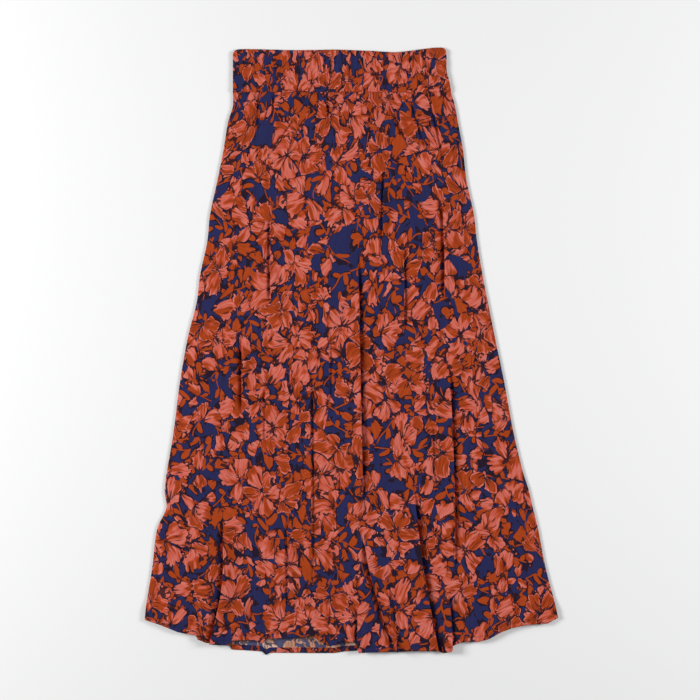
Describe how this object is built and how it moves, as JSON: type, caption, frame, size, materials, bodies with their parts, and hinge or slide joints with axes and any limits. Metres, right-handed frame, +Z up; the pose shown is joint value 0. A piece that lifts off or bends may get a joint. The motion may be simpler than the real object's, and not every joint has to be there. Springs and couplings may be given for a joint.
{
  "type": "maxi skirt",
  "caption": "Long flared skirt laid flat, gathered into a wide elasticated waistband, with soft upright folds and a narrow turned-up hem.",
  "frame": {"origin": "on the surface the skirt lies on, under the middle of its outline", "axes": "+Y from the hem towards the waist, +X to the right as seen from above with the waist away, +Z up out of the surface"},
  "size_m": [0.6724, 0.9864, 0.0149],
  "materials": {
    "skirt_cloth": "printed plain-weave viscose, matt with a faint sheen",
    "waistband_cloth": "the same printed viscose, doubled and ruched over flat elastic"
  },
  "bodies": {
    "root": {"skirt_front": "skirt_cloth", "skirt_back": "skirt_cloth", "hem_front": "skirt_cloth", "hem_back": "skirt_cloth", "waistband_front": "waistband_cloth", "waistband_back": "waistband_cloth"}
  },
  "joints": []
}
